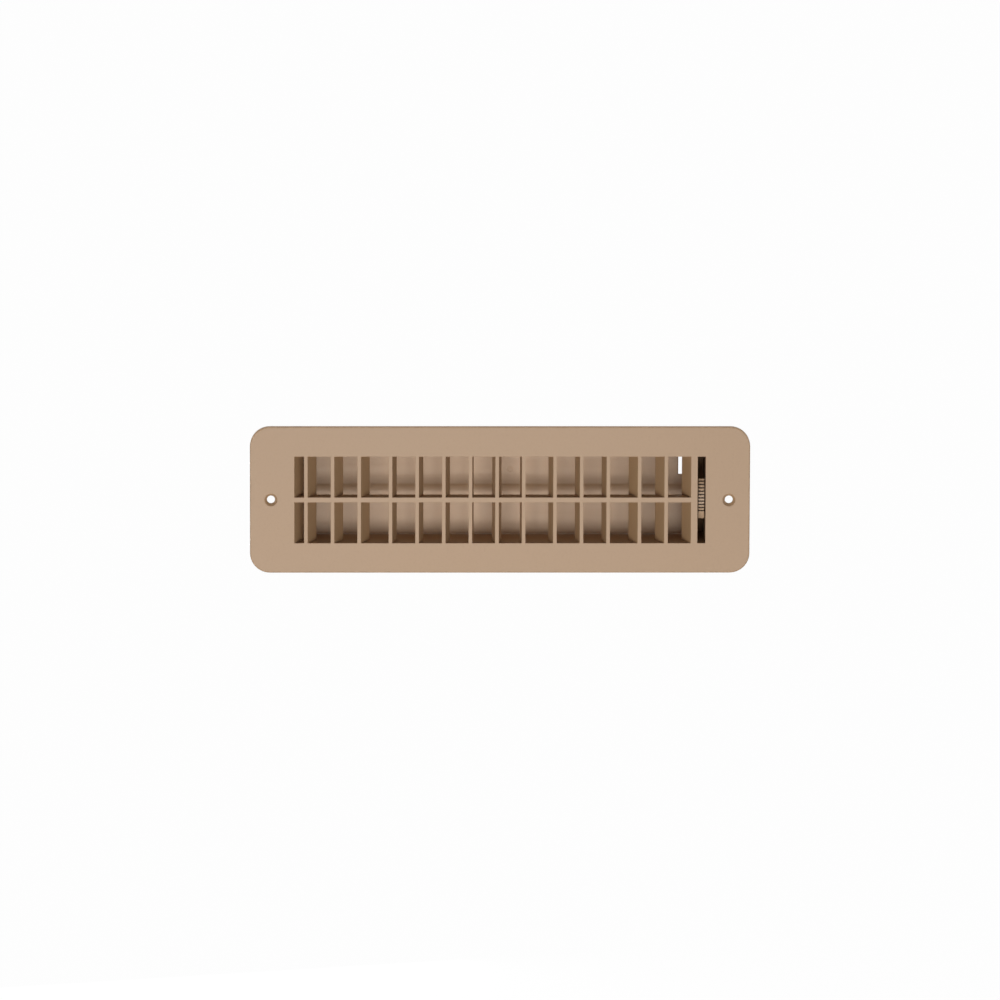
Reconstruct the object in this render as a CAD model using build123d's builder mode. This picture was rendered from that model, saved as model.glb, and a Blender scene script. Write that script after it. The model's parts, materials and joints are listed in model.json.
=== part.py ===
"""Dampered duct register: a moulded face with a fanned grille and a duct collar, closed by a
pivoting damper blade that a ribbed thumb wheel turns from the front.

Millimetres. X runs along the face, Z up it and Y into the duct. The origin is the centre of the
plate's back face, midway between the two screw holes. The blade stands shut.
"""
import os
from math import cos, radians, sin, tan

from build123d import *

os.makedirs("parts", exist_ok=True)

# Face plate
plate_length = 300.0
plate_height = 89.0
plate_thickness = 3.0
plate_corner_radius = 12.0
plate_edge_round = 0.8
rim_width = 4.5
relief_depth = 1.0
screw_edge_distance = 12.6
screw_hole_diameter = 4.8
countersink_diameter = 7.7
countersink_angle = 82.0
screw_boss_diameter = 13.0

# Opening and the collar that goes into the duct
opening_length = 246.8
opening_height = 52.8
collar_wall = 2.0
collar_behind_pivot = 10.0
collar_corner_round = 1.0
collar_root_gap = 1.2
pocket_wall = 1.6

# Grille: vertical bars in groups, leaning back towards the middle, and one bar across them
bar_width = 2.2
bar_back_width = 1.8
bar_depth = 10.5
bar_groups = (3, 6, 3, 3)
group_extra_gap = 2.8
end_cell_width = 5.8
outer_lean = 27.5
inner_lean = 15.5
slight_lean = 6.5
splitter_back_width = 5.6
cross_bar_width = 3.0
cross_bar_depth = 10.0
slot_width = 4.8
slot_bar_width = 3.9

# Damper blade on its pivot
blade_thickness = 1.6
blade_edge_gap = 0.4
blade_end_gap = 0.4
blade_open_angle = 45.0
blade_vane_gap = 0.6
spine_height = 10.0
spine_depth = 3.8
notch_width = 8.7
notch_height = 15.6
pin_diameter = 3.2
journal_diameter = 5.2
pin_clearance = 0.05
snap_grip = 0.35
gate_mark_diameter = 3.0
gate_mark_depth = 0.2
gate_mark_x = 6.6
gate_mark_height = 13.5

# Thumb wheel, a ribbed sector pressed on the blade's square end
wheel_side_gap = 0.6
wheel_set_back = 2.5
wheel_half_angle = 26.0
wheel_rim_depth = 3.2
wheel_web = 1.8
wheel_hub_diameter = 10.0
square_side = 3.4
square_clearance = 0.03
rib_count = 9
rib_pitch_angle = 4.2
rib_middle_angle = -3.9
rib_groove_width = 0.9
rib_groove_depth = 1.3

# Places worked out from those sizes
front_y = -plate_thickness
vane_back_y = bar_depth - plate_thickness
screw_spacing = plate_length - 2 * screw_edge_distance
opening_left = -opening_length / 2
opening_right = opening_length / 2
blade_half_height = opening_height / 2 - blade_edge_gap
open_reach = blade_half_height * sin(radians(blade_open_angle))
open_half_edge = blade_thickness / 2 * cos(radians(blade_open_angle))
pivot_y = vane_back_y + blade_vane_gap + open_reach + open_half_edge
collar_depth = pivot_y + collar_behind_pivot
collar_length = opening_length + 2 * collar_wall
collar_height = opening_height + 2 * collar_wall
wheel_radius = pivot_y - front_y - wheel_set_back
wheel_width = slot_width - 2 * wheel_side_gap
wheel_left = opening_right - slot_width + wheel_side_gap
wheel_right = wheel_left + wheel_width
spine_left = opening_left + blade_end_gap
slot_left = opening_right - slot_width
slot_bar_left = slot_left - slot_bar_width
pocket_left = slot_left - pocket_wall
spine_right = pocket_left - blade_end_gap


def bar_places():
    """Centre of each vertical bar along X, with the extra gap after each group."""
    bar_count = sum(bar_groups)
    first = opening_left + end_cell_width + bar_width / 2
    last = slot_bar_left + bar_width / 2
    pitch = (last - first - group_extra_gap * (len(bar_groups) - 1)) / (bar_count - 1)
    places = []
    place = first
    for group in bar_groups:
        for _ in range(group):
            places.append(place)
            place += pitch
        place += group_extra_gap
    return places


def bar_leans(bar_count):
    """Lean of each bar: strong at the ends of the grille, upright at the splitter in the middle."""
    middle = bar_count // 2
    leans = []
    for index in range(bar_count):
        steps = abs(index - middle)
        if steps == 0:
            lean = 0.0
        elif steps == 1:
            lean = slight_lean
        elif steps < 5:
            lean = inner_lean
        else:
            lean = outer_lean
        leans.append(lean if index < middle else -lean)
    return leans


# Face: plate, collar and grille in one moulding
places = bar_places()
leans = bar_leans(len(places))
with BuildPart() as face_grille:
    with BuildSketch(Plane.XZ):
        RectangleRounded(plate_length, plate_height, plate_corner_radius)
    extrude(amount=plate_thickness)
    front_edges = face_grille.faces().sort_by(Axis.Y)[0].edges()
    fillet(front_edges, plate_edge_round)
    with BuildSketch(Plane.XZ.offset(-collar_depth)):
        RectangleRounded(collar_length, collar_height, collar_corner_round)
    extrude(amount=collar_depth)
    with BuildSketch(Plane.XZ):
        RectangleRounded(plate_length - 2 * rim_width, plate_height - 2 * rim_width,
                         plate_corner_radius - rim_width)
        Rectangle(collar_length + 2 * collar_root_gap, collar_height + 2 * collar_root_gap,
                  mode=Mode.SUBTRACT)
        with Locations((-screw_spacing / 2, 0), (screw_spacing / 2, 0)):
            Circle(screw_boss_diameter / 2, mode=Mode.SUBTRACT)
    extrude(amount=relief_depth, mode=Mode.SUBTRACT)
    with BuildSketch(Plane.XZ.offset(plate_thickness)):
        Rectangle(opening_length, opening_height)
    extrude(amount=-(plate_thickness + collar_depth), mode=Mode.SUBTRACT)
    # Vertical bars, each leaning towards the middle of the grille from front to back
    with BuildSketch(Plane.XY.offset(-opening_height / 2)):
        for index, (place, lean) in enumerate(zip(places, leans)):
            back_width = bar_back_width if lean else splitter_back_width
            right_extra = slot_bar_width - bar_width if index == len(places) - 1 else 0.0
            back_place = place + bar_depth * tan(radians(lean))
            with BuildLine():
                Polyline(
                    (place - bar_width / 2, front_y),
                    (place + bar_width / 2 + right_extra, front_y),
                    (back_place + back_width / 2 + right_extra, vane_back_y),
                    (back_place - back_width / 2, vane_back_y),
                    close=True,
                )
            make_face()
        # The end wall's own vane, parallel to the first bars
        end_vane_back = opening_left + bar_depth * tan(radians(outer_lean))
        with BuildLine():
            Polyline(
                (opening_left - collar_wall / 2, front_y),
                (opening_left, front_y),
                (end_vane_back, vane_back_y),
                (end_vane_back - bar_back_width, vane_back_y),
                close=True,
            )
        make_face()
    extrude(amount=opening_height)
    # Cross bar through the bars, from the end wall to the bar beside the wheel slot
    cross_bar_length = places[-1] - opening_left
    with BuildSketch(Plane.XZ.offset(plate_thickness)):
        with Locations((opening_left + cross_bar_length / 2, 0)):
            Rectangle(cross_bar_length, cross_bar_width)
    extrude(amount=-cross_bar_depth)
    # Pocket for the wheel: a side wall behind the last bar, and a back wall across to the end
    with BuildSketch(Plane.XY.offset(-opening_height / 2)):
        with Locations((pocket_left, front_y)):
            Rectangle(pocket_wall, plate_thickness + collar_depth, align=(Align.MIN, Align.MIN))
        with Locations((pocket_left, collar_depth)):
            Rectangle(opening_right - pocket_left, pocket_wall, align=(Align.MIN, Align.MAX))
    extrude(amount=opening_height)
    # Pivot holes in the end walls and the pocket, open to the back edge so that the pins snap in
    for start, end, diameter in (
        (-collar_length / 2, opening_left, pin_diameter),
        (pocket_left, opening_right, journal_diameter),
        (opening_right, collar_length / 2, pin_diameter),
    ):
        with BuildSketch(Plane.YZ.offset(start)):
            with Locations((pivot_y, 0)):
                Circle(diameter / 2 + pin_clearance)
            with Locations((pivot_y + collar_behind_pivot / 2, 0)):
                Rectangle(collar_behind_pivot, diameter - 2 * snap_grip)
        extrude(amount=end - start, mode=Mode.SUBTRACT)
    # Countersunk screw holes
    with Locations(Plane.XZ.offset(plate_thickness)):
        with Locations((-screw_spacing / 2, 0), (screw_spacing / 2, 0)):
            CounterSinkHole(screw_hole_diameter / 2, countersink_diameter / 2,
                            depth=plate_thickness, counter_sink_angle=countersink_angle)
face_grille.part.label = "face_grille"
export_step(face_grille.part, "parts/face_grille.step")

# Damper blade: a flat vane on a round spine, with end pins, a journal and a square seat for the wheel
blade_plane = Plane(origin=(0, pivot_y, 0), x_dir=(1, 0, 0), z_dir=(0, -1, 0))
spine_plane = Plane(origin=(0, pivot_y, 0), x_dir=(0, 1, 0), z_dir=(1, 0, 0))
blade_length = spine_right - spine_left
with BuildPart() as damper_blade:
    with BuildSketch(blade_plane.offset(-blade_thickness / 2)):
        with Locations(((spine_left + spine_right) / 2, 0)):
            Rectangle(blade_length, 2 * blade_half_height)
        with Locations((spine_right, blade_half_height)):
            Rectangle(notch_width, notch_height, align=(Align.MAX, Align.MAX), mode=Mode.SUBTRACT)
    extrude(amount=blade_thickness)
    long_edges = damper_blade.edges().filter_by(Axis.X).group_by(SortBy.LENGTH)[-1]
    fillet(long_edges, blade_thickness * 0.3)
    with BuildSketch(spine_plane.offset(spine_left)):
        Ellipse(spine_depth / 2, spine_height / 2)
    extrude(amount=blade_length)
    with BuildSketch(spine_plane.offset(-collar_length / 2)):
        Circle(pin_diameter / 2)
    extrude(amount=spine_left + collar_length / 2)
    with BuildSketch(spine_plane.offset(spine_right)):
        Circle(journal_diameter / 2)
    extrude(amount=slot_left - spine_right)
    with BuildSketch(spine_plane.offset(slot_left)):
        Rectangle(square_side, square_side)
    extrude(amount=wheel_right - slot_left)
    with BuildSketch(spine_plane.offset(wheel_right)):
        Circle(pin_diameter / 2)
    extrude(amount=collar_length / 2 - wheel_right)
    with BuildSketch(blade_plane.offset(blade_thickness / 2)):
        with Locations((gate_mark_x, gate_mark_height)):
            Circle(gate_mark_diameter / 2)
    extrude(amount=-gate_mark_depth, mode=Mode.SUBTRACT)
damper_blade.part.label = "damper_blade"
export_step(damper_blade.part, "parts/damper_blade.step")

# Thumb wheel: hub, thin web and a ribbed rim over the sector that shows in the slot
wheel_plane = Plane(origin=(wheel_left, pivot_y, 0), x_dir=(0, -1, 0), z_dir=(1, 0, 0))
with BuildPart() as thumb_wheel:
    with BuildSketch(wheel_plane.offset((wheel_width - wheel_web) / 2)):
        with BuildLine():
            web = CenterArc((0, 0), wheel_radius - wheel_rim_depth / 2,
                            -wheel_half_angle, 2 * wheel_half_angle)
            Line(web @ 1, (0, 0))
            Line((0, 0), web @ 0)
        make_face()
    extrude(amount=wheel_web)
    with BuildSketch(wheel_plane):
        with BuildLine():
            outer = CenterArc((0, 0), wheel_radius, -wheel_half_angle, 2 * wheel_half_angle)
            inner = CenterArc((0, 0), wheel_radius - wheel_rim_depth,
                              -wheel_half_angle, 2 * wheel_half_angle)
            Line(outer @ 0, inner @ 0)
            Line(outer @ 1, inner @ 1)
        make_face()
        Circle(wheel_hub_diameter / 2)
        for index in range(rib_count + 1):
            groove_angle = (index - rib_count / 2) * rib_pitch_angle + rib_middle_angle
            with PolarLocations(wheel_radius, 1, start_angle=groove_angle):
                Rectangle(2 * rib_groove_depth, rib_groove_width, mode=Mode.SUBTRACT)
    extrude(amount=wheel_width)
    with BuildSketch(spine_plane.offset(wheel_left)):
        Rectangle(square_side + 2 * square_clearance, square_side + 2 * square_clearance)
    extrude(amount=wheel_width, mode=Mode.SUBTRACT)
thumb_wheel.part.label = "thumb_wheel"
export_step(thumb_wheel.part, "parts/thumb_wheel.step")
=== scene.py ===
import json
import math

import bpy
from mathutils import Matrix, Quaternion, Vector


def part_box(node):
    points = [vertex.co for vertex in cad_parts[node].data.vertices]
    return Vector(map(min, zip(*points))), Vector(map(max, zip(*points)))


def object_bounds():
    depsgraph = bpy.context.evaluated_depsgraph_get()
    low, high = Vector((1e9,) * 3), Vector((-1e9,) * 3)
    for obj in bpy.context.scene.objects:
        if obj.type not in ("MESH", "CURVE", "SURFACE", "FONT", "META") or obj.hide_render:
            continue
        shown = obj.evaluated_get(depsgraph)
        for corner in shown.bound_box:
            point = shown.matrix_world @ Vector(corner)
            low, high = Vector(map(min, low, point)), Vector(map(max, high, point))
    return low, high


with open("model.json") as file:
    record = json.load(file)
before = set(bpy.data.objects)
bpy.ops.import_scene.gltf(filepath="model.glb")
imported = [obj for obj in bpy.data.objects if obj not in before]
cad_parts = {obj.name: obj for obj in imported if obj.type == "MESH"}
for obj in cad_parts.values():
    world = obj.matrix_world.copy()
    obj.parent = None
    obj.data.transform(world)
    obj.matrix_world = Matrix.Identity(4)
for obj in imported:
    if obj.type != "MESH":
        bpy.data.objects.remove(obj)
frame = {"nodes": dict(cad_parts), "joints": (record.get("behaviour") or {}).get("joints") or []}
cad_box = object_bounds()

# Face and grille: plate, fanned bars and duct collar in one injection moulding of tan plastic.
# The tool is lightly spark-eroded, so the face is satin with a fine even grain and the collar is
# rougher. Two screws through the countersunk holes hold it to the surface round the duct.
face_tan = (0.352, 0.212, 0.106, 1.0)
face_pale = (0.376, 0.229, 0.117, 1.0)
face_deep = (0.316, 0.186, 0.090, 1.0)
face_sheen = 0.85
cloud_per_metre = 9.0
cloud_range = (0.30, 0.75)
fleck_per_metre = 620.0
fleck_range = (0.52, 0.80)
fleck_share = 0.35
grain_per_metre = 1900.0
grain_depth = 0.00005
grain_strength = 0.55
satin_rough = 0.48
grain_rough = 0.10
cloud_rough = 0.06
collar_rough = 0.25
collar_rough_range = (0.006, 0.016)
edge_radius = 0.0003


class Value:
    """A shader socket that can be used in sums; every operation adds its own Math node."""

    def __init__(self, finish, socket):
        self.finish = finish
        self.socket = socket

    def math(self, operation, first, second):
        return self.finish.node("ShaderNodeMath", {"operation": operation}, {0: first, 1: second})

    def __add__(self, other):
        return self.math("ADD", self, other)

    def __radd__(self, other):
        return self.math("ADD", other, self)

    def __sub__(self, other):
        return self.math("SUBTRACT", self, other)

    def __rsub__(self, other):
        return self.math("SUBTRACT", other, self)

    def __mul__(self, other):
        return self.math("MULTIPLY", self, other)

    def __rmul__(self, other):
        return self.math("MULTIPLY", other, self)


class Finish:
    """The node tree of one material or of the sky, and the method that adds any node to it."""

    def __init__(self, owner):
        self.owner = owner
        owner.use_nodes = True
        self.nodes = owner.node_tree.nodes
        self.links = owner.node_tree.links
        self.nodes.clear()

    def node(self, kind, settings=None, sockets=None, output=0):
        made = self.nodes.new(kind)
        for name, value in (settings or {}).items():
            setattr(made, name, value)
        for name, value in (sockets or {}).items():
            if isinstance(value, Value):
                self.links.new(value.socket, made.inputs[name])
            else:
                made.inputs[name].default_value = value
        return Value(self, made.outputs[output] if made.outputs else None)

    def place(self):
        """The point on the piece, in metres, in the piece's own frame."""
        return self.node("ShaderNodeTexCoord", output="Object")

    def noise(self, place, per_metre, detail=2.0, roughness=0.5):
        """Soft random values round 0.5, with about per_metre patches in each metre."""
        return self.node("ShaderNodeTexNoise", sockets={
            "Vector": place, "Scale": per_metre, "Detail": detail, "Roughness": roughness})

    def between(self, amount, low, high):
        """amount, stretched so that low becomes 0 and high becomes 1, and held there."""
        return self.node("ShaderNodeMapRange", {"clamp": True}, {
            "Value": amount, "From Min": low, "From Max": high, "To Min": 0.0, "To Max": 1.0})

    def tint(self, amount, first, second):
        """Colour that goes from first to second with amount; a Mix node has its colours at 6 and 7."""
        return self.node("ShaderNodeMix", {"data_type": "RGBA"}, {0: amount, 6: first, 7: second}, output=2)

    def soft_edges(self, radius, samples=6):
        """Normal that rounds each moulded edge by the small radius that every tool has."""
        return self.node("ShaderNodeBevel", {"samples": samples}, {"Radius": radius})

    def relief(self, height, depth, strength, under):
        """Normal with height, from 0 to 1, standing depth metres proud of the surface under it."""
        return self.node("ShaderNodeBump", sockets={
            "Strength": strength, "Distance": depth, "Height": height, "Normal": under})

    def plastic(self, colour, roughness, normal, sheen, refraction=1.53):
        """The material, as a plastic whose sheen is its specular level."""
        shader = self.node("ShaderNodeBsdfPrincipled", sockets={
            "Base Color": colour, "Roughness": roughness, "Normal": normal,
            "Specular IOR Level": sheen, "IOR": refraction})
        self.node("ShaderNodeOutputMaterial", sockets={"Surface": shader})
        return self.owner


def dress(node, material):
    """Gives a carried-over solid its finish in every material slot."""
    piece = frame["nodes"][node]
    if not piece.material_slots:
        piece.data.materials.append(material)
    for slot in piece.material_slots:
        slot.material = material


face = Finish(bpy.data.materials.new("tan_face_plastic"))
cloud = face.noise(face.place(), cloud_per_metre, detail=3.0)
fleck = face.noise(face.place(), fleck_per_metre)
grain = face.noise(face.place(), grain_per_metre, roughness=0.6)
behind_face = face.node("ShaderNodeSeparateXYZ", sockets={"Vector": face.place()}, output="Y")
collar = face.between(behind_face, *collar_rough_range)
face_colour = face.tint(face.between(cloud, *cloud_range), face_tan, face_pale)
face_colour = face.tint(face.between(fleck, *fleck_range) * fleck_share, face_colour, face_deep)
face_rough = satin_rough + grain_rough * grain + cloud_rough * cloud + collar_rough * collar
face_normal = face.relief(grain, grain_depth, grain_strength, face.soft_edges(edge_radius))
dress("face_grille", face.plastic(face_colour, face_rough, face_normal, face_sheen))

# Damper blade: a flat vane on a low spine, moulded in the same plastic but from a smoother tool.
# Its pins snap into the end walls of the collar, and faint lines run along it from the moulding.
blade_tan = (0.474, 0.300, 0.165, 1.0)
blade_pale = (0.506, 0.323, 0.181, 1.0)
blade_dust = (0.422, 0.264, 0.144, 1.0)
blade_sheen = 0.75
blade_cloud_per_metre = 16.0
blade_cloud_range = (0.30, 0.72)
line_scale = (14.0, 60.0, 520.0)
line_range = (0.55, 0.85)
line_share = 0.3
line_depth = 0.00004
blade_grain_per_metre = 2600.0
blade_grain_depth = 0.00002
blade_relief = 0.4
blade_satin_rough = 0.42
line_rough = 0.12
blade_grain_rough = 0.06
blade_edge_radius = 0.0014

blade = Finish(bpy.data.materials.new("tan_blade_plastic"))
along_blade = blade.node("ShaderNodeMapping", sockets={"Vector": blade.place(), "Scale": line_scale})
blade_cloud = blade.noise(blade.place(), blade_cloud_per_metre, detail=3.0)
mould_lines = blade.noise(along_blade, per_metre=1.0, detail=3.0)
blade_grain = blade.noise(blade.place(), blade_grain_per_metre)
blade_colour = blade.tint(blade.between(blade_cloud, *blade_cloud_range), blade_tan, blade_pale)
blade_colour = blade.tint(blade.between(mould_lines, *line_range) * line_share, blade_colour, blade_dust)
blade_rough = blade_satin_rough + line_rough * mould_lines + blade_grain_rough * blade_grain
blade_edges = blade.soft_edges(blade_edge_radius)
blade_normal = blade.relief(blade_grain, blade_grain_depth, blade_relief, blade_edges)
blade_normal = blade.relief(mould_lines, line_depth, blade_relief, blade_normal)
dress("damper_blade", blade.plastic(blade_colour, blade_rough, blade_normal, blade_sheen))

# Thumb wheel: a ribbed sector in the same tan plastic, pressed on the blade's square end.
# The rib tops are painted paler as a painted highlight and are a little shinier, and the groove floors are
# painted near-black as painted shade.
wheel_tan = (0.340, 0.215, 0.115, 1.0)
# The pale rib-top colour is a painted highlight, and the near-black groove colour below it is painted
# shade.
wheel_highlight_pale = (0.420, 0.280, 0.168, 1.0)
wheel_groove_shade = (0.090, 0.052, 0.026, 1.0)
wheel_sheen = 0.45
rib_height = 0.0013
groove_shade_edge = 0.0003
highlight_least = 0.85
highlight_patches = 0.30
wheel_grain_per_metre = 2300.0
wheel_grain_depth = 0.00003
wheel_grain_strength = 0.5
wheel_satin_rough = 0.52
rib_top_smooth = 0.14
wheel_grain_rough = 0.08
wheel_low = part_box("thumb_wheel")[0]
pivot = Vector(next(joint for joint in frame["joints"] if joint["name"] == "damper_pivot")["pos_m"])
wheel_reach = pivot.y - wheel_low.y
groove_floor = wheel_reach - rib_height

wheel = Finish(bpy.data.materials.new("tan_wheel_plastic"))
wheel_grain = wheel.noise(wheel.place(), wheel_grain_per_metre)
arm = wheel.node("ShaderNodeVectorMath", {"operation": "SUBTRACT"}, {0: wheel.place(), 1: tuple(pivot)})
flat_arm = wheel.node("ShaderNodeVectorMath", {"operation": "MULTIPLY"}, {0: arm, 1: (0.0, 1.0, 1.0)})
radius = wheel.node("ShaderNodeVectorMath", {"operation": "LENGTH"}, {0: flat_arm}, output="Value")
# Painted highlight and shade: toward the wheel's outer reach the colour goes pale in patches. Just below
# the rib tops it turns near-black in the grooves, and further in it stays the plain tan.
rib_top_highlight = wheel.between(radius, groove_floor, wheel_reach)
rib_highlight_patchy = rib_top_highlight * (highlight_least + highlight_patches * wheel_grain)
painted_rib_band = wheel.between(radius, groove_floor - 2 * groove_shade_edge, groove_floor - groove_shade_edge)
wheel_colour = wheel.tint(painted_rib_band, wheel_tan, wheel.tint(rib_highlight_patchy, wheel_groove_shade, wheel_highlight_pale))
wheel_rough = wheel_satin_rough - rib_top_smooth * rib_top_highlight + wheel_grain_rough * wheel_grain
wheel_edges = wheel.soft_edges(edge_radius)
wheel_normal = wheel.relief(wheel_grain, wheel_grain_depth, wheel_grain_strength, wheel_edges)
dress("thumb_wheel", wheel.plastic(wheel_colour, wheel_rough, wheel_normal, wheel_sheen))

# Floor: a plain pale sheet well below the register, which is held up by its screw holes.
# It looks white to the camera and in reflections, and keeps a faint shadow.
floor_drop = 0.60
floor_half = 9.0
floor_pale = (0.60, 0.60, 0.60, 1.0)
floor_white_share = 0.985
white = (1.0, 1.0, 1.0, 1.0)

floor_level = cad_box[0].z - floor_drop
floor_mesh = bpy.data.meshes.new("floor")
floor_mesh.from_pydata(
    [(-floor_half, -floor_half, floor_level), (floor_half, -floor_half, floor_level),
     (floor_half, floor_half, floor_level), (-floor_half, floor_half, floor_level)],
    [], [(0, 1, 2, 3)])
floor = bpy.data.objects.new("floor", floor_mesh)
bpy.context.collection.objects.link(floor)


def looked_at(finish):
    """1 where the camera sees the surface, straight or in a reflection, and 0 where it only gives light."""
    seen = finish.node("ShaderNodeLightPath", output="Is Camera Ray")
    mirrored = finish.node("ShaderNodeLightPath", output="Is Glossy Ray")
    through = finish.node("ShaderNodeLightPath", output="Is Transmission Ray")
    return finish.between(seen + mirrored + through, 0.0, 1.0)


paper = Finish(bpy.data.materials.new("pale_floor"))
matt = paper.node("ShaderNodeBsdfDiffuse", sockets={"Color": floor_pale})
glow = paper.node("ShaderNodeEmission", sockets={"Color": white, "Strength": 1.0})
paper_white = looked_at(paper) * floor_white_share
paper_mixed = paper.node("ShaderNodeMixShader", sockets={0: paper_white, 1: matt, 2: glow})
paper.node("ShaderNodeOutputMaterial", sockets={"Surface": paper_mixed})
floor_mesh.materials.append(paper.owner)

# Studio: three broad lamps in front and a little below the face, the left one strongest.
# Lamps behind, above and beside it light the collar, and the sky is dim and even but white where
# it is seen.
sky_strength = 0.012
face_middle = (0, 0, 0)
collar_side = (0, 0.02, 0)
collar_top = (0, 0.05, 0)

scene = bpy.context.scene
scene.view_settings.view_transform = "Standard"


def lamp(name, place, aim, width, height, power):
    """A rectangular lamp, sizes in metres and power in watts, turned to shine on aim."""
    light = bpy.data.lights.new(name, "AREA")
    light.shape = "RECTANGLE"
    light.size = width
    light.size_y = height
    light.energy = power
    holder = bpy.data.objects.new(name, light)
    holder.location = place
    holder.rotation_euler = (Vector(aim) - Vector(place)).to_track_quat("-Z", "Y").to_euler()
    bpy.context.collection.objects.link(holder)


lamp("left_lamp", (-0.47, -1.27, -0.24), face_middle, width=0.50, height=0.50, power=6.5)
lamp("front_lamp", (0.0, -1.36, -0.25), face_middle, width=0.50, height=0.50, power=4.9)
lamp("right_lamp", (0.43, -1.27, -0.24), face_middle, width=0.50, height=0.50, power=3.4)
lamp("back_lamp", (-0.4, 1.5, -0.45), face_middle, width=0.8, height=0.4, power=12.0)
lamp("top_lamp", (0.0, 0.14, 1.4), collar_top, width=0.5, height=0.18, power=7.0)
lamp("left_side_lamp", (-1.35, 0.45, 0.2), collar_side, width=0.4, height=0.4, power=5.0)
lamp("right_side_lamp", (1.35, 0.45, 0.2), collar_side, width=0.4, height=0.4, power=5.0)

sky = Finish(bpy.data.worlds.new("studio_sky"))
sky_dim = sky.node("ShaderNodeBackground", sockets={"Color": white, "Strength": sky_strength})
sky_white = sky.node("ShaderNodeBackground", sockets={"Color": white, "Strength": 1.0})
sky_mixed = sky.node("ShaderNodeMixShader", sockets={0: looked_at(sky), 1: sky_dim, 2: sky_white})
sky.node("ShaderNodeOutputWorld", sockets={"Surface": sky_mixed})
scene.world = sky.owner

# Camera: a long lens a little above the face and square on to it, as for a catalogue picture.
# The plate is half the picture wide, and the lens is long enough to keep its edges parallel.
camera_lift = math.radians(10.5)
camera_turn = math.radians(-1.0)
camera_roll = math.radians(0.18)
camera_distance = 6.0
camera_reach = 60.0
picture_width = 0.600
sensor_width = 36.0
plate_front = Vector((0, cad_box[0].y, 0))

camera = bpy.data.cameras.new("camera")
camera.sensor_width = sensor_width
camera.lens = sensor_width * camera_distance / picture_width
camera.clip_end = camera_reach
camera_holder = bpy.data.objects.new("camera", camera)
towards = Vector((
    math.sin(camera_turn) * math.cos(camera_lift),
    -math.cos(camera_turn) * math.cos(camera_lift),
    math.sin(camera_lift)))
camera_holder.location = plate_front + towards * camera_distance
level = (-towards).to_track_quat("-Z", "Y")
camera_holder.rotation_euler = (level @ Quaternion((0, 0, 1), camera_roll)).to_euler()
bpy.context.collection.objects.link(camera_holder)
scene.camera = camera_holder
